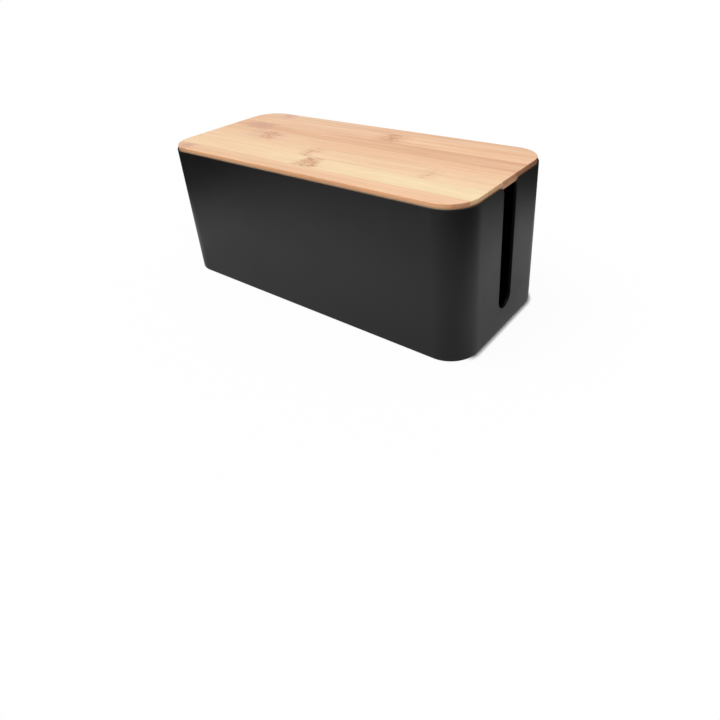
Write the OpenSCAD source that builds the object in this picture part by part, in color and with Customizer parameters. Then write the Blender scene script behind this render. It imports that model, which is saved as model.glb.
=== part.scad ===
// Cable management box. A one-piece moulded tub hides a power strip and its
// spare cable. The leads pass through a slot in each end, and a bamboo lid
// closes the top. The lid is a thin two-ply board of glued strips. It lies in
// a rebate inside the rim, which keeps it from sliding, and lifts straight out.
// +X runs along the box, +Z is up, and the origin lies under its middle, on
// the surface that the feet stand on.

/* [Tub] */
// Length over the rim
rim_l = 320; // [240:1:420]
// Width over the rim
rim_w = 136; // [110:0.5:190]
// Radius of the corners at the rim, seen from above
corner_r = 26; // [14:0.5:34]
// Height of the tub, from its underside to its rim
tub_h = 124.6; // [90:0.2:180]
// How far each end leans in, from the rim down to the underside
draft_l = 1.4; // [0:0.1:4]
// How far each side leans in, from the rim down to the underside
draft_w = 1.4; // [0:0.1:4]
// Thickness of the walls
wall_t = 2.4; // [2:0.1:3.4]
// Thickness of the floor
floor_t = 2.6; // [2:0.1:4]
// Rounding of the edge around the underside
sole_r = 1.2; // [1:0.2:5]
// Fillet inside, where the walls meet the floor
floor_r = 3; // [1:0.5:6]

/* [Rebate for the lid] */
// Thickness of the thin lip that stands around the lid
lip_t = 1; // [0.8:0.1:1.2]
// Depth of the rebate below the rim
rebate_d = 2.4; // [1:0.1:4]

/* [Cable slots] */
// Width of the slot in each end
slot_w = 20; // [12:0.2:32]
// Height of the slot's lowest point above the underside of the tub
slot_sill = 19; // [10:0.1:50]
// Rounding where the slot opens into the rim
slot_mouth_r = 5.5; // [2:0.5:8]

/* [Ledges] */
// Length of each ledge inside the end walls
ledge_l = 18; // [8:1:20]
// How far a ledge stands in from the end wall
ledge_d = 2.4; // [1.5:0.1:4]
// Depth of a ledge, with its sloping underside
ledge_h = 3.6; // [2.5:0.1:6]
// Distance from the side of the slot to the ledge
ledge_from_slot = 14; // [3:0.5:14]
// Depth of the top of a ledge below the rim
ledge_drop = 10.4; // [5:0.2:20]

/* [Lid] */
// Thickness of the face ply
face_t = 3.1; // [2:0.1:5]
// Thickness of the cross ply under it
cross_t = 3; // [2:0.1:5]
// Chamfer along the top edge of the lid
lid_chamfer = 0.5; // [0.3:0.1:1.5]
// How many strips the face ply is laid from
face_count = 7; // [5:1:9]
// Width of the first and last strip of the face ply, which are sawn narrower
edge_strip_w = 14.2; // [8:0.2:18]
// How many strips the cross ply is laid from, end to end
cross_count = 15; // [9:1:21]

/* [Feet] */
// Diameter of a rubber foot
foot_d = 14; // [8:1:24]
// Thickness of a rubber foot
foot_t = 1.8; // [1.4:0.1:3]
// Depth of the recess that each foot is stuck in
foot_recess = 0.8; // [0.4:0.1:1]
// Distance from the ends of the underside to the middle of a foot
foot_from_end = 30; // [20:1:60]
// Distance from the sides of the underside to the middle of a foot
foot_from_side = 26; // [18:1:40]

/* [Clearances] */
// Gap all round between the lid and the lip of the tub
lid_gap = 0.3; // [0.2:0.1:0.6]
// Gap between the underside of the lid and the floor of the rebate
seat_gap = 0.1; // [0.05:0.05:0.3]
// Gap around each foot in its recess
foot_gap = 0.3; // [0.1:0.1:0.6]

/* [Hidden] */
foot_r = foot_d / 2;
foot_proud = foot_t - foot_recess;
ledge_z = tub_h - ledge_drop;
rebate_z = tub_h - rebate_d;
lid_inset = lip_t + lid_gap;
lid_l = rim_l - 2 * lid_inset;
lid_w = rim_w - 2 * lid_inset;
lid_r = corner_r - lid_inset;
lid_z = foot_proud + rebate_z + seat_gap;
face_z = lid_z + cross_t;
foot_x = half_l(0) - foot_from_end;
foot_y = half_w(0) - foot_from_side;
face_strip_w = (lid_w - 2 * edge_strip_w) / (face_count - 2);
cross_strip_w = lid_l / cross_count;
FEET = [
    ["foot_front_left", -1, -1],
    ["foot_front_right", 1, -1],
    ["foot_back_left", -1, 1],
    ["foot_back_right", 1, 1]
];
// Thickness of the discs that a hull ends in, and how far a cut runs past a face
sliver = 0.02;
past = 1;
round_fn = 48;
edge_fn = 24;
$fn = 96;

// Half the outer length and half the outer width at height z above the underside
function half_l(z) = rim_l / 2 - draft_l * (1 - z / tub_h);
function half_w(z) = rim_w / 2 - draft_w * (1 - z / tub_h);
// Radius of the outer corners at height z, which shrinks as the walls lean in
function corner(z) = corner_r - min(draft_l, draft_w) * (1 - z / tub_h);
// Near edge and width of strip i of the face ply
function face_from(i) = i == 1 ? -lid_w / 2 : edge_strip_w - lid_w / 2 + (i - 2) * face_strip_w;
function face_w(i) = i == 1 || i == face_count ? edge_strip_w : face_strip_w;

// ---- Tub -------------------------------------------------------------------

// A block with rounded corners and leaning sides, inset from the outer faces,
// with its bottom edge rounded at z0 and its top left sharp at z1
module leaning_block(inset, edge_r, z0, z1) {
    waist = z0 + edge_r;
    hull()
        for (sx = [-1, 1], sy = [-1, 1]) {
            translate([sx * (half_l(waist) - corner(waist)), sy * (half_w(waist) - corner(waist)), waist])
                rotate_extrude($fn = round_fn)
                translate([corner(waist) - inset - edge_r, 0])
                circle(edge_r, $fn = edge_fn);
            translate([sx * (half_l(z1) - corner(z1)), sy * (half_w(z1) - corner(z1)), z1 - sliver])
                cylinder(h = sliver, r = corner(z1) - inset, $fn = round_fn);
        }
}

// A rectangle about the middle, with rounded corners
module rounded_rect(l, w, r) {
    square([l - 2 * r, w], center = true);
    square([l, w - 2 * r], center = true);
    for (sx = [-1, 1], sy = [-1, 1])
        translate([sx * (l / 2 - r), sy * (w / 2 - r)])
            circle(r);
}

// Outline of a slot: a straight channel with a round bottom, whose mouth
// flares into the rim with a radius on each side
module slot_outline() {
    mouth_w = slot_w + 2 * slot_mouth_r;
    translate([0, slot_sill + slot_w / 2])
        circle(d = slot_w);
    translate([-slot_w / 2, slot_sill + slot_w / 2])
        square([slot_w, tub_h - slot_sill - slot_w / 2 + past]);
    difference() {
        translate([-mouth_w / 2, tub_h - slot_mouth_r])
            square([mouth_w, slot_mouth_r + past]);
        for (side = [-1, 1])
            translate([side * mouth_w / 2, tub_h - slot_mouth_r])
                circle(slot_mouth_r);
    }
}

// Four ledges inside the end walls, one on each side of each slot, with
// sloping undersides. Each runs on into the wall behind it.
module ledges() {
    low = ledge_z - ledge_h;
    wall_in = half_l(low) - wall_t;
    tip = half_l(ledge_z) - wall_t - ledge_d;
    root = half_l(ledge_z);
    for (end = [0, 1], side = [0, 1])
        mirror([end, 0, 0])
            mirror([0, side, 0])
            translate([0, slot_w / 2 + ledge_from_slot + ledge_l, 0])
            rotate([90, 0, 0])
            linear_extrude(ledge_l)
            polygon([[root, low], [wall_in, low], [tip, ledge_z - ledge_h / 3], [tip, ledge_z], [root, ledge_z]]);
}

module tub() {
    color("#2b2b2d")
        translate([0, 0, foot_proud])
        difference() {
            leaning_block(0, sole_r, 0, tub_h);
            difference() {
                leaning_block(wall_t, floor_r, floor_t, tub_h + past);
                ledges();
            }
            translate([0, 0, rebate_z])
                linear_extrude(rebate_d + past)
                rounded_rect(rim_l - 2 * lip_t, rim_w - 2 * lip_t, corner_r - lip_t);
            rotate([90, 0, 90])
                linear_extrude(rim_l + 2 * past, center = true)
                slot_outline();
            for (foot = FEET)
                translate([foot[1] * foot_x, foot[2] * foot_y, -past])
                    cylinder(h = past + foot_recess, r = foot_r + foot_gap);
        }
}

// ---- Feet ------------------------------------------------------------------

// A stick-on rubber disc, with its lower edge chamfered
module foot(place) {
    chamfer = foot_proud / 2;
    color("#1c1c1e")
        translate([place[1] * foot_x, place[2] * foot_y, 0]) {
            cylinder(h = chamfer, r1 = foot_r - chamfer, r2 = foot_r);
            translate([0, 0, chamfer])
                cylinder(h = foot_t - chamfer, r = foot_r);
        }
}

// ---- Lid -------------------------------------------------------------------

// A slab with rounded corners, whose top edge is chamfered all round
module chamfered_slab(l, w, r, h, c) {
    for (sx = [-1, 1], sy = [-1, 1])
        translate([sx * (l / 2 - r), sy * (w / 2 - r), 0])
            rotate_extrude()
            polygon([[0, 0], [r, 0], [r, h - c], [r - c, h], [0, h]]);
    rotate([90, 0, 90])
        linear_extrude(l - 2 * r, center = true)
        slab_section(w, h, c);
    rotate([90, 0, 0])
        linear_extrude(w - 2 * r, center = true)
        slab_section(l, h, c);
}

module slab_section(w, h, c) {
    polygon([[-w / 2, 0], [w / 2, 0], [w / 2, h - c], [w / 2 - c, h], [c - w / 2, h], [-w / 2, h - c]]);
}

// The whole board, which each strip takes its share of
module lid_board() {
    translate([0, 0, lid_z])
        chamfered_slab(lid_l, lid_w, lid_r, cross_t + face_t, lid_chamfer);
}

// What lies between two heights and two lines along the box is one strip
module strip_along(from, w, z0, z1) {
    intersection() {
        lid_board();
        translate([-rim_l / 2, from, z0])
            cube([rim_l, w, z1 - z0]);
    }
}

module strip_across(from, w, z0, z1) {
    intersection() {
        lid_board();
        translate([from, -rim_w / 2, z0])
            cube([w, rim_w, z1 - z0]);
    }
}

// Strips of the face ply run along the box, numbered from the front
module lid_face_strip(i) {
    color(i % 2 == 0 ? "#f0cfa0" : "#e9bd92")
        strip_along(face_from(i), face_w(i), face_z, face_z + face_t + past);
}

// Strips of the cross ply run across the box, numbered from the left
module lid_cross_strip(i) {
    color(i % 2 == 0 ? "#dcb483" : "#d2a574")
        strip_across((i - 1) * cross_strip_w - lid_l / 2, cross_strip_w, lid_z - past, face_z);
}

// ---- Assembly --------------------------------------------------------------

tub();
for (place = FEET)
    foot(place);
for (i = [1:face_count])
    lid_face_strip(i);
for (i = [1:cross_count])
    lid_cross_strip(i);
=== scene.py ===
# %% [markdown]
# # A cable management box with a bamboo lid
#
# The box is two things that part by hand: a moulded tub, with a slot in each
# end for the cables, and a board of glued bamboo strips that lies in its rim.
# The CAD model fixes every size and place. In this lesson each piece gets the
# surface that it has in the hand: softened edges, satin black plastic, and
# bamboo with its fibres, its node marks and its glue joints.

import math

import bmesh
import bpy
from mathutils import Matrix, Vector


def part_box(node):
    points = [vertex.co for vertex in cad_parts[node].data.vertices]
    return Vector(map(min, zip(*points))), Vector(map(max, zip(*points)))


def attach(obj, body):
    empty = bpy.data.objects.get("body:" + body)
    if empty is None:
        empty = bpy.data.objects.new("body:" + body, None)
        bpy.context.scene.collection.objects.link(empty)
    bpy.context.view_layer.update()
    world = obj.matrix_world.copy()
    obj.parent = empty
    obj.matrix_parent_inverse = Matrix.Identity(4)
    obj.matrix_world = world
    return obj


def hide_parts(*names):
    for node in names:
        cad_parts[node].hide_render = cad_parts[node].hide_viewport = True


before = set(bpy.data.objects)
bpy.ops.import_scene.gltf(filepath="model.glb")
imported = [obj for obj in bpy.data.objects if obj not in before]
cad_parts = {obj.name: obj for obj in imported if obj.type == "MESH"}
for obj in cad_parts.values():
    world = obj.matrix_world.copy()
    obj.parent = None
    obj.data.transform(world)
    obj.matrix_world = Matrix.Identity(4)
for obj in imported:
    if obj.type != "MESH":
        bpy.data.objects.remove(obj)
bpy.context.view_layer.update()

# %% [markdown]
# ## Sizes
#
# A piece that stands for a CAD node has to lie where that node is, so its
# outer size is read from the node's box. What a box can't tell, such as the
# radius of a corner or the lean of a wall, is written here once, by name.

# %% Sizes from the frame, and the ones that a box doesn't show
MM = 0.001
tub_low, tub_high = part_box("tub")
cross_low, cross_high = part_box("lid_cross_strip_8")
face_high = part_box("lid_face_strip_4")[1]

RIM_HALF_L = tub_high.x
RIM_HALF_W = tub_high.y
TUB_H = tub_high.z - tub_low.z
CORNER_R = 26 * MM
LEAN = 1.4 * MM
WALL = 2.4 * MM
FLOOR = 2.6 * MM
SOLE_R = 1.2 * MM
FLOOR_R = 3 * MM
LIP_T = 1 * MM
REBATE_D = 2.4 * MM
SLOT_W = 20 * MM
SLOT_SILL = 19 * MM
SLOT_MOUTH_R = 5.5 * MM
FOOT_RECESS = 0.8 * MM
FOOT_GAP = 0.3 * MM

LID_TOP = face_high.z
LID_LOW = cross_low.z
LID_HALF_L = face_high.x
LID_HALF_W = cross_high.y
LID_CORNER_R = CORNER_R - (RIM_HALF_L - LID_HALF_L)
print(f"tub {2 * RIM_HALF_L / MM:.1f} x {2 * RIM_HALF_W / MM:.1f} mm")
print(f"lid {2 * LID_HALF_L / MM:.1f} x {2 * LID_HALF_W / MM:.1f} mm")

# %% [markdown]
# ## The camera
#
# The box is seen from its front right corner, from a little above, with a
# rather wide lens close by: the near corner looms, and the far end shrinks.
# The camera is turned to look along a direction, then rolled a few degrees.
# The lens is shifted a little, because the box stands high in the picture.

# %% Place the camera
FRAME_PIXELS = 720
FOCAL_PIXELS = 593.0
AXIS_PIXEL = (370, 255)

camera_data = bpy.data.cameras.new("camera")
camera_data.sensor_width = 36
camera_data.lens = FOCAL_PIXELS / FRAME_PIXELS * camera_data.sensor_width
camera_data.shift_x = (FRAME_PIXELS / 2 - AXIS_PIXEL[0]) / FRAME_PIXELS
camera_data.shift_y = (AXIS_PIXEL[1] - FRAME_PIXELS / 2) / FRAME_PIXELS
camera = bpy.data.objects.new("camera", camera_data)
bpy.context.scene.collection.objects.link(camera)
bpy.context.scene.camera = camera

camera_at = Vector((0.3346, -0.3716, 0.2811))
looks_along = Vector((-0.57007, 0.68128, -0.45922)).normalized()
right_of_it = Vector((0.78661, 0.61395, -0.06565)).normalized()
turn = Matrix((right_of_it, looks_along.cross(-right_of_it), -looks_along)).transposed()
camera.matrix_world = Matrix.Translation(camera_at) @ turn.to_4x4()
camera_data.clip_start = 0.01
print(f"lens {camera_data.lens:.1f} mm, shift {camera_data.shift_x:.3f}, {camera_data.shift_y:.3f}")

# %% [markdown]
# ## Turning a bmesh into a piece
#
# Every piece is modelled as a bmesh, which can be cut, bevelled and bridged by
# operators without any window open. Helpers finish the work: one makes an
# object of it, one cuts or joins another shape into it with an exact boolean,
# one softens its edges, and one seats it on its CAD body in place of the node
# that it stands for. A boolean can leave two points where there should be one,
# a thousandth of a millimetre apart, and a bevel stops short at such an edge.
# So every cut is followed by a weld.

# %% Helpers that make, combine, soften and seat pieces
WELD = 0.005 * MM


def as_object(bm, name):
    mesh = bpy.data.meshes.new(name)
    bm.to_mesh(mesh)
    bm.free()
    made = bpy.data.objects.new(name, mesh)
    bpy.context.scene.collection.objects.link(made)
    return made


def combine(body, tool, operation):
    cutter = as_object(tool, "cutter")
    step = body.modifiers.new("combine", "BOOLEAN")
    step.operation = operation
    step.solver = "EXACT"
    step.object = cutter
    settled = body.evaluated_get(bpy.context.evaluated_depsgraph_get())
    body.data = bpy.data.meshes.new_from_object(settled)
    body.modifiers.clear()
    bpy.data.objects.remove(cutter)
    bm = bmesh.new()
    bm.from_mesh(body.data)
    bmesh.ops.remove_doubles(bm, verts=bm.verts[:], dist=WELD)
    bmesh.ops.dissolve_degenerate(bm, edges=bm.edges[:], dist=WELD)
    bm.to_mesh(body.data)
    bm.free()


def seat(piece, body, slot, *nodes):
    for polygon in piece.data.polygons:
        polygon.use_smooth = True
    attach(piece, body)
    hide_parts(*nodes)


def soften(piece, width, segments, angle=30):
    bevel = piece.modifiers.new("softened edges", "BEVEL")
    bevel.width = width
    bevel.segments = segments
    bevel.limit_method = "ANGLE"
    bevel.angle_limit = math.radians(angle)
    bevel.harden_normals = True


print(f"points closer than {WELD / MM:.3f} mm are welded after a cut")

# %% [markdown]
# ## The tub
#
# The real tub leaves its mould in one shot. Its walls lean a little, so that it
# slips off the core of the mould, and its corners are wide and round. Two plain
# blocks give the outside and the inside. Each is a cube with bevelled upright
# edges. Its foot is drawn in by scaling each quarter about the middle of its
# corner, and then its bottom edge is bevelled. With their lids off, the two
# rims have the same number of points, so a bridge closes them into a wall.

# %% Model the shell of the tub
CORNER_STEPS = 24
SOLE_STEPS = 5


def is_upright(edge):
    along = edge.verts[1].co - edge.verts[0].co
    return abs(along.z) > 0.9 * along.length


def round_uprights(bm, edges, radius):
    return bmesh.ops.bevel(
        bm, geom=[e for e in edges if is_upright(e)], offset=radius, segments=CORNER_STEPS,
        profile=0.5, affect="EDGES", material=-1)


def draw_in(bm, points, radius, lean):
    shrink = 1 - lean / radius
    for sx in (-1, 1):
        for sy in (-1, 1):
            middle = Vector((sx * (RIM_HALF_L - CORNER_R), sy * (RIM_HALF_W - CORNER_R), 0))
            quarter = [v for v in points if v.co.x * sx > 0 and v.co.y * sy > 0]
            bmesh.ops.scale(
                bm, vec=(shrink, shrink, 1), space=Matrix.Translation(-middle), verts=quarter)


def open_block(bm, inset, foot_z, sole_r):
    corners = bmesh.ops.create_cube(bm, size=2)["verts"]
    for corner in corners:
        corner.co.x *= RIM_HALF_L - inset
        corner.co.y *= RIM_HALF_W - inset
        corner.co.z = tub_high.z if corner.co.z > 0 else foot_z
    rounded = round_uprights(bm, {e for v in corners for e in v.link_edges}, CORNER_R - inset)
    faces = {f for v in rounded["verts"] for f in v.link_faces}
    top = max(faces, key=lambda f: f.calc_center_median().z)
    bottom = min(faces, key=lambda f: f.calc_center_median().z)
    draw_in(bm, bottom.verts, CORNER_R - inset, LEAN * (tub_high.z - foot_z) / TUB_H)
    rim = list(top.edges)
    bmesh.ops.bevel(
        bm, geom=list(bottom.edges), offset=sole_r, segments=SOLE_STEPS,
        profile=0.5, affect="EDGES", material=-1)
    bmesh.ops.delete(bm, geom=[top], context="FACES_ONLY")
    return rim


shell = bmesh.new()
inner_rim = open_block(shell, WALL, tub_low.z + FLOOR, FLOOR_R)
bmesh.ops.reverse_faces(shell, faces=shell.faces[:])
outer_rim = open_block(shell, 0, tub_low.z, SOLE_R)
bmesh.ops.bridge_loops(shell, edges=outer_rim + inner_rim)
bmesh.ops.recalc_face_normals(shell, faces=shell.faces[:])
print("shell of the tub:", len(shell.faces), "faces")
tub = as_object(shell, "moulded_tub")

# %% [markdown]
# The slots are cut with a solid tool while the rim is still whole. It is one
# long bar that goes through both ends at once, and bevelling its two lower
# edges by half its width makes the round bottom of the slot. A hair's breadth
# is left between the two bevels, and merging its points closes the round. Where
# a slot opens into the rim its corners are round too, so that a cable slides in
# without catching. Those are four short edges across the wall, found by their
# place.

# %% Cut the slots, and round their mouths
SLOT_STEPS = 14
MOUTH_STEPS = 9
HAIR = 0.02 * MM
TOUCHING = 0.01 * MM
SPARE = 10 * MM


def bar(low, high):
    bm = bmesh.new()
    size = Vector(high) - Vector(low)
    middle = (Vector(high) + Vector(low)) / 2
    bmesh.ops.create_cube(bm, size=1, matrix=Matrix.Translation(middle) @ Matrix.Diagonal((*size, 1)))
    return bm


sill_z = tub_low.z + SLOT_SILL
slot_tool = bar(
    (-RIM_HALF_L - SPARE, -SLOT_W / 2, sill_z),
    (RIM_HALF_L + SPARE, SLOT_W / 2, tub_high.z + SPARE))
lower = [e for e in slot_tool.edges if all(v.co.z < sill_z + MM for v in e.verts)
         and abs(e.verts[0].co.x - e.verts[1].co.x) > SLOT_W]
bmesh.ops.bevel(
    slot_tool, geom=lower, offset=SLOT_W / 2 - HAIR / 2, segments=SLOT_STEPS,
    profile=0.5, affect="EDGES", material=-1)
bmesh.ops.remove_doubles(slot_tool, verts=slot_tool.verts[:], dist=2 * HAIR)
combine(tub, slot_tool, "DIFFERENCE")

bm = bmesh.new()
bm.from_mesh(tub.data)
mouth = [e for e in bm.edges
         if all(abs(v.co.z - tub_high.z) < TOUCHING for v in e.verts)
         and all(abs(abs(v.co.y) - SLOT_W / 2) < TOUCHING for v in e.verts)]
bmesh.ops.bevel(
    bm, geom=mouth, offset=SLOT_MOUTH_R, segments=MOUTH_STEPS,
    profile=0.5, affect="EDGES", material=-1)
bm.to_mesh(tub.data)
bm.free()
print("tub with slots:", len(tub.data.polygons), "faces, mouth edges rounded:", len(mouth))

# %% [markdown]
# The rebate takes away the inner part of the rim, so that a thin lip is left
# standing round the lid. Four shallow recesses in the underside take the feet.

# %% Cut the rebate and the foot recesses
FEET = ["foot_front_left", "foot_front_right", "foot_back_left", "foot_back_right"]
FOOT_STEPS = 64
foot_low, foot_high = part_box(FEET[0])
FOOT_R = (foot_high.x - foot_low.x) / 2

hollow_l = RIM_HALF_L - LIP_T
hollow_w = RIM_HALF_W - LIP_T
rebate_tool = bar(
    (-hollow_l, -hollow_w, tub_high.z - REBATE_D),
    (hollow_l, hollow_w, tub_high.z + SPARE))
round_uprights(rebate_tool, rebate_tool.edges, CORNER_R - LIP_T)
combine(tub, rebate_tool, "DIFFERENCE")

recess_top = tub_low.z + FOOT_RECESS
recess_tool = bmesh.new()
for node in FEET:
    low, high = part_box(node)
    middle = Vector(((low.x + high.x) / 2, (low.y + high.y) / 2, recess_top - SPARE / 2))
    bmesh.ops.create_cone(
        recess_tool, cap_ends=True, segments=FOOT_STEPS, radius1=FOOT_R + FOOT_GAP,
        radius2=FOOT_R + FOOT_GAP, depth=SPARE, matrix=Matrix.Translation(middle))
combine(tub, recess_tool, "DIFFERENCE")
print("tub with rebate and recesses:", len(tub.data.polygons), "faces")

# %% [markdown]
# Four small ledges stand inside the end walls, one on each side of each slot.
# Each is a short bar with its lower inner edge pushed back to the wall, so that
# it has a sloping underside, as a moulded ledge needs.

# %% Add the ledges
LEDGE_L = 18 * MM
LEDGE_D = 2.4 * MM
LEDGE_H = 3.6 * MM
LEDGE_FROM_SLOT = 14 * MM
LEDGE_DROP = 10.4 * MM

ledge_top = tub_high.z - LEDGE_DROP
near_y = SLOT_W / 2 + LEDGE_FROM_SLOT
wall_x = RIM_HALF_L - LEAN * LEDGE_DROP / TUB_H - WALL
for end in (-1, 1):
    for side in (-1, 1):
        across = sorted((side * near_y, side * (near_y + LEDGE_L)))
        along = sorted((end * (wall_x - LEDGE_D), end * (wall_x + WALL / 2)))
        ledge = bar((along[0], across[0], ledge_top - LEDGE_H), (along[1], across[1], ledge_top))
        for v in ledge.verts:
            if v.co.z < ledge_top - MM and abs(v.co.x) < wall_x:
                v.co.x = end * wall_x
        combine(tub, ledge, "UNION")
print("tub with ledges:", len(tub.data.polygons), "faces")

# %% [markdown]
# Last, a bevel softens every edge that is still sharp, as a mould does: without
# it no edge would catch the light. A bevel reaches no further than the shortest
# edge lets it, so that length is measured first, and so is whether the tub is
# closed all round.

# %% Measure the tub, and soften every edge
SOFT_EDGE = 0.3 * MM

bm = bmesh.new()
bm.from_mesh(tub.data)
open_edges = [e for e in bm.edges if not e.is_manifold]
shortest = min(e.calc_length() for e in bm.edges)
bm.free()
print(f"open edges in the tub: {len(open_edges)}, shortest edge {shortest / MM:.3f} mm")
soften(tub, SOFT_EDGE, 3)
seat(tub, "tub", "tub_plastic", "tub")

# %% [markdown]
# ## The feet
#
# A stick-on foot is a disc of rubber with a soft edge. It stands on a ring,
# because its middle is a little hollow, which keeps it from rocking.

# %% Model the feet
RING_W = 2.2 * MM
HOLLOW_SLOPE = 0.6 * MM
HOLLOW_D = 0.3 * MM
FOOT_EDGE = 0.35 * MM


def rubber_foot(node):
    low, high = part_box(node)
    middle = (low + high) / 2
    bm = bmesh.new()
    bmesh.ops.create_cone(
        bm, cap_ends=True, segments=FOOT_STEPS, radius1=FOOT_R, radius2=FOOT_R,
        depth=high.z - low.z, matrix=Matrix.Translation(middle))
    sole = min(bm.faces, key=lambda f: f.calc_center_median().z)
    bmesh.ops.inset_region(bm, faces=[sole], thickness=RING_W, use_even_offset=True)
    bmesh.ops.inset_region(
        bm, faces=[sole], thickness=HOLLOW_SLOPE, depth=-HOLLOW_D, use_even_offset=True)
    foot = as_object(bm, "rubber_" + node)
    soften(foot, FOOT_EDGE, 3, angle=60)
    seat(foot, "tub", "foot_rubber", node)
    return foot


feet = [rubber_foot(node) for node in FEET]
print("feet:", [foot.name for foot in feet])

# %% [markdown]
# ## The lid
#
# The lid is made as the workshop makes it. Bamboo strips are glued side by side
# into two plies, the lower one running across the upper one, and the board is
# cut to its outline in one go. So the blank is modelled first, as one board.
# Then every strip is cut out of it with planes, which leaves each strip with
# its own share of the rounded edge.

# %% Model the blank of the board
LID_EDGE_R = 0.6 * MM
UNDER_EDGE_R = 0.3 * MM

blank = bar((-LID_HALF_L, -LID_HALF_W, LID_LOW), (LID_HALF_L, LID_HALF_W, LID_TOP))
round_uprights(blank, blank.edges, LID_CORNER_R)
top = max(blank.faces, key=lambda f: f.calc_center_median().z)
under = min(blank.faces, key=lambda f: f.calc_center_median().z)
for edges, radius, steps in ((list(top.edges), LID_EDGE_R, 4), (list(under.edges), UNDER_EDGE_R, 2)):
    bmesh.ops.bevel(
        blank, geom=edges, offset=radius, segments=steps,
        profile=0.5, affect="EDGES", material=-1)
bmesh.ops.recalc_face_normals(blank, faces=blank.faces[:])
print("blank of the board:", len(blank.faces), "faces")

# %% [markdown]
# A strip is what is left of the blank between its planes: one or two for its
# sides, and one for the joint between the plies. Where a side lies in the skin
# of the blank, nothing is cut. Each cut is capped, and the new edges are eased
# by a hair, so that a fine line shows at each glue joint. Smooth shading would
# bend the light over the whole strip, so its normals are weighted by the area
# of the faces, which keeps the big faces flat.

# %% Cut the strips out of the blank
EASED = 0.05 * MM
ON_PLANE = 0.0001 * MM
SHARP = math.radians(60)
BLANK_BOX = (
    Vector((-LID_HALF_L, -LID_HALF_W, LID_LOW)),
    Vector((LID_HALF_L, LID_HALF_W, LID_TOP)))


def strip(name, node, axis, slot):
    bm = blank.copy()
    for index in ("xyz".index(axis), 2):
        for corner, skin, outward in zip(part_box(node), BLANK_BOX, (-1, 1)):
            if abs(corner[index] - skin[index]) < MM:
                continue
            normal = Vector((0, 0, 0))
            normal[index] = outward
            cut = bmesh.ops.bisect_plane(
                bm, geom=bm.verts[:] + bm.edges[:] + bm.faces[:], dist=ON_PLANE,
                plane_co=corner, plane_no=normal, clear_outer=True)["geom_cut"]
            bmesh.ops.edgeloop_fill(bm, edges=[e for e in cut if isinstance(e, bmesh.types.BMEdge)])
    bmesh.ops.recalc_face_normals(bm, faces=bm.faces[:])
    sharp = [e for e in bm.edges if e.is_manifold and e.calc_face_angle() > SHARP]
    bmesh.ops.bevel(bm, geom=sharp, offset=EASED, segments=1, profile=0.5, affect="EDGES", material=-1)
    made = as_object(bm, name)
    made.modifiers.new("flat faces stay flat", "WEIGHTED_NORMAL").keep_sharp = True
    seat(made, "lid", slot, node)
    return made


def nodes_named(start):
    return [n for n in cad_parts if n.startswith(start)]


FACE_SLOTS = ["peach", "honey", "honey", "peach", "pink", "peach", "peach"]
face_strips = [
    strip(f"bamboo_face_{i + 1}", f"lid_face_strip_{i + 1}", "y", "bamboo_face_" + FACE_SLOTS[i])
    for i in range(len(nodes_named("lid_face_strip_")))]
cross_strips = [
    strip(f"bamboo_cross_{i + 1}", f"lid_cross_strip_{i + 1}", "x", "bamboo_cross")
    for i in range(len(nodes_named("lid_cross_strip_")))]
blank.free()
print("strips:", len(face_strips), "face,", len(cross_strips), "cross")

# %% [markdown]
# ## Writing materials
#
# A material is a graph of nodes. A small class keeps the wiring readable: it
# adds a node, sets or links its inputs, and gives short names to the few kinds
# that come back again and again.

# %% A short way to write node graphs
class Graph:
    def __init__(self, tree):
        self.tree = tree

    def feed(self, socket, value):
        if isinstance(value, bpy.types.NodeSocket):
            self.tree.links.new(value, socket)
        else:
            socket.default_value = value

    def add(self, kind, inputs=(), **settings):
        node = self.tree.nodes.new(kind)
        for key, value in settings.items():
            setattr(node, key, value)
        for key, value in dict(inputs).items():
            self.feed(node.inputs[key], value)
        return node

    def math(self, operation, *values):
        node = self.add("ShaderNodeMath", operation=operation)
        for socket, value in zip(node.inputs, values):
            self.feed(socket, value)
        return node.outputs[0]

    def vector(self, operation, *values):
        node = self.add("ShaderNodeVectorMath", operation=operation)
        for socket, value in zip(node.inputs, values):
            self.feed(socket, value)
        return node.outputs["Value" if operation in ("LENGTH", "DOT_PRODUCT") else "Vector"]

    def fit(self, value, low, high, to_low=0.0, to_high=1.0):
        node = self.add("ShaderNodeMapRange", interpolation_type="SMOOTHSTEP", inputs={
            "Value": value, "From Min": low, "From Max": high, "To Min": to_low, "To Max": to_high})
        return node.outputs[0]

    def noise(self, vector, per_metre, detail=2.0, roughness=0.5):
        scaled = self.vector("MULTIPLY", vector, per_metre)
        node = self.add("ShaderNodeTexNoise", inputs={
            "Vector": scaled, "Scale": 1.0, "Detail": detail, "Roughness": roughness})
        return node.outputs["Fac"]

    def mix(self, factor, first, second, blend="MIX"):
        node = self.add("ShaderNodeMix", data_type="RGBA", blend_type=blend)
        self.feed(node.inputs["Factor"], factor)
        self.feed(node.inputs[6], first)
        self.feed(node.inputs[7], second)
        return node.outputs[2]

    def blend(self, share, first, second):
        node = self.add("ShaderNodeMixShader")
        self.feed(node.inputs[0], share)
        self.feed(node.inputs[1], first)
        self.feed(node.inputs[2], second)
        return node.outputs[0]

    def split(self, vector):
        return self.add("ShaderNodeSeparateXYZ", inputs={"Vector": vector}).outputs

    def join(self, x=0.0, y=0.0, z=0.0):
        return self.add("ShaderNodeCombineXYZ", inputs={"X": x, "Y": y, "Z": z}).outputs[0]

    def bump(self, height, distance):
        node = self.add("ShaderNodeBump", inputs={
            "Height": height, "Distance": distance, "Strength": 0.5})
        return node.outputs["Normal"]


print("graph helpers ready")

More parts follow.
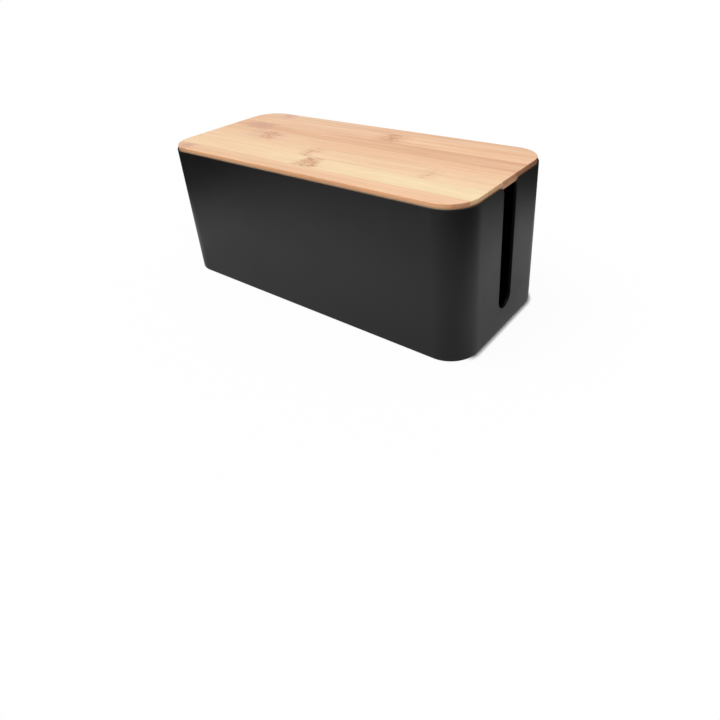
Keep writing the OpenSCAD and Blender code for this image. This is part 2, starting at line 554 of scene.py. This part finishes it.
# %% [markdown]
# A material starts as one Principled shader and its output, and what varies
# over the surface is wired in front of it. What more than one material needs is
# a group: a small graph with named inputs and outputs, made once and placed in
# each material with its own values. Colours are written as on a screen, in steps
# from 0 to 255, but a shader reckons in linear light, so they are converted.

# %% Start materials and groups, and convert colours
def new_material(name):
    material = bpy.data.materials.new(name)
    material.use_nodes = True
    material.node_tree.nodes.clear()
    graph = Graph(material.node_tree)
    shader = graph.add("ShaderNodeBsdfPrincipled")
    output = graph.add("ShaderNodeOutputMaterial")
    material.node_tree.links.new(shader.outputs[0], output.inputs["Surface"])
    return material, graph, shader.inputs


def new_group(name, inputs, outputs):
    group = bpy.data.node_groups.new(name, "ShaderNodeTree")
    for label, kind in inputs:
        group.interface.new_socket(label, in_out="INPUT", socket_type="NodeSocket" + kind)
    for label, kind in outputs:
        group.interface.new_socket(label, in_out="OUTPUT", socket_type="NodeSocket" + kind)
    graph = Graph(group)
    return group, graph, graph.add("NodeGroupInput").outputs, graph.add("NodeGroupOutput").inputs


def colour(red, green, blue):
    """Screen values from 0 to 255, as the linear colour that a shader reads."""
    def linear(value):
        value /= 255
        return value / 12.92 if value <= 0.04045 else ((value + 0.055) / 1.055) ** 2.4
    return (linear(red), linear(green), linear(blue), 1.0)


print("half grey on a screen is", round(colour(128, 128, 128)[0], 3), "of full light")

# %% [markdown]
# ## Bamboo
#
# Bamboo has no rings. Its stem is a bundle of long dark fibres in a pale flesh,
# so a strip shows fine dashes that all run one way, with broad soft streaks
# under them. Noise that is squeezed across the fibres and stretched along them
# gives both. The group works in a space where the fibres run along X, and
# a material turns its coordinates to suit. Cut across, the same noise shows the
# fibres as dots, as real end grain does.

# %% Shader group: bamboo grain
SWAY = 3 * MM

grain_group, g, given, gives = new_group(
    "bamboo_grain",
    [("Vector", "Vector"), ("Seed", "Float")],
    [("Streaks", "Float"), ("Lines", "Float"), ("Fibres", "Float"), ("Height", "Float")])
offset = g.join(*(g.math("MULTIPLY", given["Seed"], step) for step in (0.731, 0.417, 0.259)))
place = g.vector("ADD", given["Vector"], offset)
sway = g.math("MULTIPLY", g.math("SUBTRACT", g.noise(place, (14.0, 60.0, 60.0), 1.0), 0.5), SWAY)
swayed = g.vector("ADD", place, g.join(y=sway))
broad = g.noise(swayed, (4.0, 130.0, 130.0), 3.0, 0.6)
slow = g.noise(place, (7.0, 30.0, 30.0), 1.0, 0.5)
fine = g.noise(swayed, (14.0, 520.0, 520.0), 3.0, 0.6)
dashes = g.noise(swayed, (75.0, 2300.0, 2300.0), 1.0, 0.5)
streaks = g.math("ADD", g.math("MULTIPLY", broad, 0.7), g.math("MULTIPLY", slow, 0.3))
g.feed(gives["Streaks"], g.fit(streaks, 0.32, 0.68))
g.feed(gives["Lines"], g.fit(fine, 0.48, 0.70))
g.feed(gives["Fibres"], g.fit(dashes, 0.56, 0.68))
height = g.math("SUBTRACT", g.math("MULTIPLY", broad, 0.4), g.math("MULTIPLY", dashes, 0.6))
g.feed(gives["Height"], height)
print("made group", grain_group.name)

# %% [markdown]
# Every hand's breadth or so the stem has a node, the ring where a leaf grew.
# In a sawn strip it is a brownish patch, a finger wide, that crosses the strip.
# Its ends are ragged, because each fibre takes the stain a little further or
# less far, it is flecked with dark and pale dashes, and often one bowed row of
# dashes crosses it. The group shifts every fibre along by its own amount, and
# then measures how far a point lies from the middle of the node.

# %% Shader group: node mark
FIBRE_SHIFT = 18 * MM
BROAD_SHIFT = 14 * MM
ROW_FADES = (0.5 * MM, 2.6 * MM)

mark_group, g, given, gives = new_group(
    "bamboo_node_mark",
    [("Vector", "Vector"), ("Along", "Float"), ("Across", "Float"),
     ("Reach", "Float"), ("Width", "Float"), ("Bow", "Float")],
    [("Patch", "Float"), ("Flecks", "Float"), ("Line", "Float")])
fine = g.math("SUBTRACT", g.noise(given["Vector"], (18.0, 420.0, 420.0), 2.0), 0.5)
broad = g.math("SUBTRACT", g.noise(given["Vector"], (40.0, 90.0, 90.0), 1.0), 0.5)
shift = g.math("ADD", g.math("MULTIPLY", fine, FIBRE_SHIFT), g.math("MULTIPLY", broad, BROAD_SHIFT))
x, y = g.split(given["Vector"])[:2]
sideways = g.math("DIVIDE", g.math("SUBTRACT", y, given["Across"]), given["Width"])
bowed = g.math("MULTIPLY", g.math("MULTIPLY", sideways, sideways), given["Bow"])
along = g.math("ADD", g.math("SUBTRACT", x, given["Along"]), bowed)
lengthways = g.math("DIVIDE", g.math("ADD", along, shift), given["Reach"])
from_ends = g.math("SUBTRACT", 1.0, g.math("ABSOLUTE", lengthways))
from_sides = g.math("SUBTRACT", 1.0, g.math("ABSOLUTE", sideways))
patch = g.math("MULTIPLY", g.fit(from_ends, 0.0, 0.65), g.fit(from_sides, 0.0, 0.4))
flecks = g.noise(given["Vector"], (170.0, 430.0, 430.0), 2.0, 0.6)
mottle = g.noise(given["Vector"], (100.0, 150.0, 150.0), 1.0)
g.feed(gives["Patch"], g.math("MULTIPLY", patch, g.fit(flecks, 0.36, 0.50, 0.45, 1.0)))
dark = g.math("MULTIPLY", g.fit(flecks, 0.46, 0.62), g.fit(mottle, 0.38, 0.60, 0.25, 1.0))
g.feed(gives["Flecks"], g.math("MULTIPLY", patch, dark))
from_row = g.math("ABSOLUTE", g.math("ADD", along, g.math("MULTIPLY", shift, 0.3)))
row = g.fit(from_row, *ROW_FADES, 1.0, 0.0)
dashes = g.fit(g.noise(given["Vector"], (30.0, 210.0, 210.0), 1.0), 0.42, 0.56)
row_of_dashes = g.math("MULTIPLY", row, dashes)
g.feed(gives["Line"], g.math("MULTIPLY", row_of_dashes, g.fit(from_sides, 0.0, 0.3)))
print("made group", mark_group.name)

# %% [markdown]
# One function writes the material of a strip. A strip has a tone at each of its
# ends, because a stem changes along its length. The streaks swing that tone
# between a deeper and a paler one, and the lines and fibres lie over them. Then
# come the node marks, and a hairline darkens each glue joint. The sawn sides
# and the cut ends are browner than the face, each by a tint of its own. That
# tint also paints shade on them, because they are turned away from the lamp; the
# surface normal tells which faces those are. The lacquer is satin, a little
# duller along the open fibres.

# %% Write the bamboo materials
FIBRE_COLOUR = colour(190, 126, 82)
FLECK_COLOUR = colour(182, 106, 74)
GLUE_COLOUR = colour(180, 126, 90)
DEEPER = (-0.025, -0.050, -0.070)
PALER = (0.010, 0.022, 0.032)
LINE_STRENGTH = 0.16
FIBRE_STRENGTH = 0.15
JOINT_STRENGTH = 0.25
JOINT_REACH = 0.3 * MM
TURNED_AWAY = (0.35, 0.9)
TONE_TURNS = 0.6 * LID_HALF_L
LACQUER_ROUGHNESS = (0.46, 0.58)
GRAIN_DEPTH = 0.04 * MM


def shifted(tone, shift, depth):
    return colour(*(value * (1 + step * depth) for value, step in zip(tone, shift)))


def bamboo(name, tones, seed, side_tint_and_shade, end_tint_and_shade, depth=1.0, joints=(), marks=(), turned=False):
    material, g, shader = new_material(name)
    place = g.add("ShaderNodeTexCoord").outputs["Object"]
    facing = g.add("ShaderNodeTexCoord").outputs["Normal"]
    if turned:
        quarter = (0.0, 0.0, math.radians(90))
        place = g.add("ShaderNodeMapping", inputs={"Vector": place, "Rotation": quarter}).outputs[0]
        facing = g.add("ShaderNodeMapping", inputs={"Vector": facing, "Rotation": quarter}).outputs[0]
    x, y = g.split(place)[:2]
    grain = g.add("ShaderNodeGroup", node_tree=grain_group, inputs={
        "Vector": place, "Seed": seed}).outputs
    from_left = g.fit(x, -TONE_TURNS, TONE_TURNS)
    deep = g.mix(from_left, *(shifted(tone, DEEPER, depth) for tone in tones))
    pale = g.mix(from_left, *(shifted(tone, PALER, depth) for tone in tones))
    paint = g.mix(grain["Streaks"], deep, pale)
    paint = g.mix(g.math("MULTIPLY", grain["Lines"], LINE_STRENGTH), paint, FIBRE_COLOUR)
    paint = g.mix(g.math("MULTIPLY", grain["Fibres"], FIBRE_STRENGTH), paint, FIBRE_COLOUR)
    for place_of_mark, (patch, flecks, line), stain in marks:
        mark = g.add("ShaderNodeGroup", node_tree=mark_group, inputs={
            "Vector": place, **place_of_mark}).outputs
        paint = g.mix(g.math("MULTIPLY", mark["Patch"], patch), paint, stain)
        paint = g.mix(g.math("MULTIPLY", mark["Flecks"], flecks), paint, FLECK_COLOUR)
        paint = g.mix(g.math("MULTIPLY", mark["Line"], line), paint, FLECK_COLOUR)
    toward_end, toward_side = g.split(facing)[:2]
    # Browner sides and ends, with painted shade on these faces, which turn from the lamp.
    paint = g.mix(g.fit(g.math("ABSOLUTE", toward_side), *TURNED_AWAY), paint, side_tint_and_shade, "MULTIPLY")
    paint = g.mix(g.fit(g.math("ABSOLUTE", toward_end), *TURNED_AWAY), paint, end_tint_and_shade, "MULTIPLY")
    for joint in joints:
        from_joint = g.math("ABSOLUTE", g.math("SUBTRACT", y, joint))
        hairline = g.fit(from_joint, EASED, JOINT_REACH, JOINT_STRENGTH, 0.0)
        paint = g.mix(hairline, paint, GLUE_COLOUR)
    g.feed(shader["Base Color"], paint)
    g.feed(shader["Roughness"], g.fit(grain["Fibres"], 0.0, 1.0, *LACQUER_ROUGHNESS))
    g.feed(shader["Normal"], g.bump(grain["Height"], GRAIN_DEPTH))
    return material


# %% [markdown]
# Each face strip came from another stem, so each has its own pair of tones, its
# own depth of grain and its nodes in other places. A node mark is given by its
# distance along the box from the middle, by half its length and half its width,
# and by its bow, all in millimetres. Then come the strengths of its patch, its
# flecks and its row of dashes, the colour of its stain and, where it isn't in
# the middle of the strip, how far it lies to the back.

# %% Lay the bamboo on the face strips
BROWN_STAIN = colour(209, 149, 117)
PINK_STAIN = colour(208, 162, 146)
# The side tint and each strip's end tint are partly browner grain and partly painted shade on the
# edges, which face away from the lamp.
SIDE_TINT_AND_SHADE = (0.88, 0.70, 0.55, 1.0)


def node_mark(middle, along, reach, width, bow, strengths, stain, across=0):
    place_of_mark = {
        "Along": along * MM, "Across": middle + across * MM,
        "Reach": reach * MM, "Width": width * MM, "Bow": bow * MM}
    return place_of_mark, strengths, stain


FACE_LOOKS = [
    {"tones": ((250, 210, 172), (249, 205, 167)), "depth": 1.1, "end": (0.66, 0.50, 0.41, 1.0),
     "marks": [(-140, 17, 12, 2, (0.40, 0.25, 0.0), PINK_STAIN)]},
    {"tones": ((255, 223, 183), (254, 228, 185)), "depth": 0.9, "end": (0.80, 0.66, 0.56, 1.0),
     "marks": [(1.5, 13, 13, -1, (0.62, 0.45, 0.2), BROWN_STAIN)]},
    {"tones": ((254, 218, 179), (252, 215, 176)), "depth": 0.9, "end": (0.80, 0.66, 0.56, 1.0),
     "marks": [(-17, 10, 14, -5, (0.18, 0.20, 0.38), BROWN_STAIN),
               (104, 10, 14, 3, (0.12, 0.16, 0.22), BROWN_STAIN)]},
    {"tones": ((249, 208, 170), (250, 206, 168)), "depth": 1.0, "end": (0.57, 0.43, 0.34, 1.0),
     "marks": [(-96, 30, 16, -3, (0.26, 0.05, 0.0), PINK_STAIN, 2),
               (-90, 13, 13, -3, (0.36, 0.36, 0.25), BROWN_STAIN)]},
    {"tones": ((247, 203, 166), (239, 191, 154)), "depth": 2.2, "end": (0.52, 0.37, 0.30, 1.0),
     "marks": [(-126, 26, 16, 2, (0.50, 0.20, 0.0), PINK_STAIN, 3)]},
    {"tones": ((246, 203, 167), (251, 208, 170)), "depth": 1.9, "end": (0.38, 0.26, 0.20, 1.0),
     "marks": [(25, 25, 16, 2, (0.26, 0.12, 0.0), BROWN_STAIN),
               (23, 12, 13, 3, (0.34, 0.44, 0.2), BROWN_STAIN, 1)]},
    {"tones": ((245, 207, 173), (243, 200, 164)), "depth": 1.6, "end": (0.52, 0.36, 0.28, 1.0),
     "marks": [(-124, 14, 11, 1, (0.34, 0.26, 0.1), PINK_STAIN)]},
]

for i, (piece, look) in enumerate(zip(face_strips, FACE_LOOKS)):
    low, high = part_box(f"lid_face_strip_{i + 1}")
    middle = (low.y + high.y) / 2
    piece.data.materials.append(bamboo(
        f"bamboo face {i + 1}", look["tones"], i + 1.3, SIDE_TINT_AND_SHADE, look["end"], depth=look["depth"],
        joints=[y for y in (low.y, high.y) if abs(y) < LID_HALF_W - MM],
        marks=[node_mark(middle, *mark) for mark in look["marks"]]))
print("bamboo laid on", len(face_strips), "face strips")

# %% [markdown]
# The strips of the cross ply are plainer stock, so all of them share
# one material. It is the same bamboo, with its coordinates turned a quarter.

# %% Lay the bamboo on the cross strips
CROSS_TONE = (224, 184, 148)

# As on the face strips, its side and end tints are partly browner grain and partly painted shade.
cross_bamboo = bamboo(
    "bamboo cross", (CROSS_TONE, CROSS_TONE), 21.7,
    side_tint_and_shade=(0.82, 0.69, 0.60, 1.0), end_tint_and_shade=(0.88, 0.92, 0.92, 1.0), turned=True)
for piece in cross_strips:
    piece.data.materials.append(cross_bamboo)
print("bamboo laid on", len(cross_strips), "cross strips")

# %% [markdown]
# ## Moulded plastic
#
# The mould of the tub was eroded by sparks, which leaves a fine dry grain on
# the plastic. It isn't evenly dry: handling leaves faint smooth smudges on the
# walls, and the rim is rubbed a little paler by the lid.

# %% Write and lay the plastic
PLASTIC_TONES = (colour(17, 17, 18), colour(22, 22, 23))
SMUDGE_COLOUR = colour(36, 36, 37)
RUBBED_COLOUR = colour(58, 58, 59)
RUBBED_REACH = 1 * MM
PLASTIC_ROUGHNESS = (0.31, 0.37)
SPARK_DEPTH = 0.02 * MM

plastic, g, shader = new_material("satin black plastic")
place = g.add("ShaderNodeTexCoord").outputs["Object"]
height_up = g.split(place)[2]
spark_grain = g.noise(place, (2600.0, 2600.0, 2600.0), 2.0, 0.6)
clouds = g.noise(place, (14.0, 14.0, 20.0), 4.0, 0.6)
smudges = g.fit(g.noise(place, (38.0, 38.0, 26.0), 3.0, 0.65), 0.58, 0.72)
at_rim = g.fit(height_up, tub_high.z - RUBBED_REACH, tub_high.z)
rubbed = g.math("MULTIPLY", at_rim, g.fit(g.noise(place, (60.0, 60.0, 60.0), 3.0), 0.35, 0.65))
paint = g.mix(clouds, *PLASTIC_TONES)
paint = g.mix(g.math("MULTIPLY", smudges, 0.25), paint, SMUDGE_COLOUR)
paint = g.mix(g.math("MULTIPLY", rubbed, 0.3), paint, RUBBED_COLOUR)
g.feed(shader["Base Color"], paint)
dryness = g.fit(clouds, 0.3, 0.7, *PLASTIC_ROUGHNESS)
g.feed(shader["Roughness"], g.math("ADD", dryness, g.math("MULTIPLY", smudges, 0.05)))
g.feed(shader["Normal"], g.bump(spark_grain, SPARK_DEPTH))
tub.data.materials.clear()
tub.data.materials.append(plastic)
print("plastic on", tub.name)

# %% [markdown]
# Rubber is duller and softer to the light than the plastic, with a fine matt
# skin and a little dust in patches.

# %% Write and lay the rubber
RUBBER_COLOUR = colour(30, 30, 31)
DUST_COLOUR = colour(70, 68, 66)
RUBBER_ROUGHNESS = (0.72, 0.86)
SKIN_DEPTH = 0.03 * MM

rubber, g, shader = new_material("black rubber")
place = g.add("ShaderNodeTexCoord").outputs["Object"]
skin = g.noise(place, (1400.0, 1400.0, 1400.0), 3.0, 0.7)
dust = g.fit(g.noise(place, (160.0, 160.0, 160.0), 3.0), 0.45, 0.7)
g.feed(shader["Base Color"], g.mix(g.math("MULTIPLY", dust, 0.4), RUBBER_COLOUR, DUST_COLOUR))
g.feed(shader["Roughness"], g.fit(skin, 0.3, 0.7, *RUBBER_ROUGHNESS))
g.feed(shader["Normal"], g.bump(skin, SKIN_DEPTH))
for foot in feet:
    foot.data.materials.append(rubber)
print("rubber on", len(feet), "feet")

# %% [markdown]
# ## The stage
#
# The box stands on a pale table under soft light. One wide lamp is high over
# its front left, so its shadow falls to the back right, on the lee side.

# %% Lay the floor
FLOOR_HALF = 6
LAMP_FROM = Vector((-0.20, -0.28, 0.94)).normalized()
LEE = -Vector((LAMP_FROM.x, LAMP_FROM.y, 0)).normalized()
WHITE = (1.0, 1.0, 1.0, 1.0)

floor_bm = bmesh.new()
bmesh.ops.create_grid(floor_bm, x_segments=1, y_segments=1, size=FLOOR_HALF)
floor = as_object(floor_bm, "floor")

floor_paint = bpy.data.materials.new("pale table")
floor_paint.use_nodes = True
floor_paint.node_tree.nodes.clear()
floor.data.materials.append(floor_paint)
print(f"floor laid, {2 * FLOOR_HALF} m across")

# %% [markdown]
# The walls of the tub show their form by what the satin plastic mirrors: the
# table near the box, which is pale, with a little painted shade right beside it,
# and the dim room further off. So for mirror rays the table glows with painted
# light of its own, by its distance from the box. It fades sooner past the ends
# and the back than in front, so distances count for more there. In front of the
# box a painted pool of light lies near the middle, and the table dims to both
# sides. Each side of the pool is given by where its change starts and ends
# along X, and by how much it adds at those two places.

# %% Paint the light and shade that the plastic mirrors in the table
NEAR_TONE = 0.54
FAR_TONE = 0.05
FADES_OVER = (0.15, 0.43)
PAINTED_SHADE_TONE = 0.72
PAINTED_SHADE_REACH = 0.07
END_COUNTS = 1.7
BACK_COUNTS = 1.5
PAINTED_POOL_LEFT = (-0.42, -0.04, -0.28, 0.12)
PAINTED_POOL_RIGHT = (0.08, 0.24, 0.0, -0.30)
PAINTED_POOL_FADES_BACK = (-0.09, -0.04)

g = Graph(floor_paint.node_tree)
light_path = g.add("ShaderNodeLightPath").outputs
place = g.add("ShaderNodeTexCoord").outputs["Object"]
x, y = g.split(place)[:2]

past_end = g.math("MULTIPLY", g.math("SUBTRACT", g.math("ABSOLUTE", x), RIM_HALF_L), END_COUNTS)
past_back = g.math("MULTIPLY", g.math("SUBTRACT", y, RIM_HALF_W), BACK_COUNTS)
past_front = g.math("SUBTRACT", g.math("MULTIPLY", y, -1.0), RIM_HALF_W)
past_side = g.math("MAXIMUM", past_front, past_back)
from_box = g.vector("LENGTH", g.join(
    g.math("MAXIMUM", past_end, 0.0), g.math("MAXIMUM", past_side, 0.0)))
# Painted light for mirror rays: bright near the box and dim far off, with painted shade right beside
# the box.
painted_falloff = g.fit(from_box, *FADES_OVER, NEAR_TONE, FAR_TONE)
painted_shade = g.fit(from_box, 0.0, PAINTED_SHADE_REACH, PAINTED_SHADE_TONE, 1.0)

# A painted pool of light in front of the box.
in_front = g.fit(y, *PAINTED_POOL_FADES_BACK, 1.0, 0.0)
left = g.math("MULTIPLY", g.fit(x, *PAINTED_POOL_LEFT), in_front)
right = g.math("MULTIPLY", g.fit(x, *PAINTED_POOL_RIGHT), in_front)
painted_pool = g.math("ADD", g.math("ADD", left, right), 1.0)
mirrored = g.math("MULTIPLY", g.math("MULTIPLY", painted_falloff, painted_shade), painted_pool)
tone = g.mix(light_path["Is Glossy Ray"], WHITE, g.join(mirrored, mirrored, mirrored))
print("table painted for mirror rays")

# %% [markdown]
# The camera sees the table as white, with the lamp's own soft shadow on it.
# Right at the foot of the box, on the lee side, a painted band lets the table's
# own lit shading show through the white, as a narrow dark contact shadow. Its
# distance is measured from the rounded outline of the foot: the nearest point
# of an inner rectangle, and then the corner radius.

# %% Add the contact shadow, and join the table's two looks
CONTACT_REACH = 3.4 * MM
CONTACT_DEPTH = 0.90
TABLE_WHITE = 0.95
TABLE_COLOUR = (0.90, 0.90, 0.90, 1.0)

inner = (RIM_HALF_L - CORNER_R, RIM_HALF_W - CORNER_R, 0.0)
nearest = g.vector("MINIMUM", g.vector("MAXIMUM", place, tuple(-c for c in inner)), inner)
outward = g.vector("SUBTRACT", place, nearest)
from_foot = g.math("SUBTRACT", g.vector("LENGTH", outward), CORNER_R - LEAN)
in_lee = g.fit(g.vector("DOT_PRODUCT", g.vector("NORMALIZE", outward), LEE), 0.1, 0.5)
# A painted band on the lee side, where the table's own lit shading shows through the white.
contact = g.math("MULTIPLY", g.fit(from_foot, 0.0, CONTACT_REACH, CONTACT_DEPTH, 0.0), in_lee)
lit = g.math("SUBTRACT", TABLE_WHITE, contact)
direct = g.math("MAXIMUM", light_path["Is Camera Ray"], light_path["Is Transmission Ray"])
share = g.math("MAXIMUM", g.math("MULTIPLY", direct, lit), light_path["Is Glossy Ray"])
table = g.add("ShaderNodeBsdfDiffuse", inputs={"Color": TABLE_COLOUR}).outputs[0]
shown = g.add("ShaderNodeEmission", inputs={"Color": tone, "Strength": 1.0}).outputs[0]
seen = g.blend(share, table, shown)
g.feed(g.add("ShaderNodeOutputMaterial").inputs["Surface"], seen)
print(f"contact shadow reaches {CONTACT_REACH / MM:.1f} mm")

# %% [markdown]
# The room gives an even light from all round. It is white to the camera, and
# for mirror rays it is dim at the horizon and paler above, as a room is.

# %% Light the box
ROOM_LIGHT = 0.42
ROOM_MIRRORED = (0.06, 0.32)
HORIZON_ENDS = 0.45
LAMP_STRENGTH = 2.12
LAMP_WIDTH = 50

world = bpy.data.worlds.new("studio")
bpy.context.scene.world = world
world.use_nodes = True
world.node_tree.nodes.clear()
g = Graph(world.node_tree)
light_path = g.add("ShaderNodeLightPath").outputs
up = g.split(g.add("ShaderNodeTexCoord").outputs["Generated"])[2]
mirrored = g.fit(up, 0.0, HORIZON_ENDS, *ROOM_MIRRORED)
tone = g.mix(light_path["Is Glossy Ray"], WHITE, g.join(mirrored, mirrored, mirrored))
room = g.add("ShaderNodeBackground", inputs={"Color": WHITE, "Strength": ROOM_LIGHT}).outputs[0]
backdrop = g.add("ShaderNodeBackground", inputs={"Color": tone, "Strength": 1.0}).outputs[0]
direct = g.math("MAXIMUM", light_path["Is Camera Ray"], light_path["Is Transmission Ray"])
share = g.math("MAXIMUM", direct, light_path["Is Glossy Ray"])
g.feed(g.add("ShaderNodeOutputWorld").inputs["Surface"], g.blend(share, room, backdrop))

lamp = bpy.data.lights.new("wide soft lamp", "SUN")
lamp.energy = LAMP_STRENGTH
lamp.angle = math.radians(LAMP_WIDTH)
sun = bpy.data.objects.new("wide soft lamp", lamp)
sun.rotation_euler = LAMP_FROM.to_track_quat("Z", "Y").to_euler()
bpy.context.scene.collection.objects.link(sun)
bpy.context.scene.view_settings.view_transform = "Standard"
print("stage ready, lamp", LAMP_STRENGTH, "room", ROOM_LIGHT)
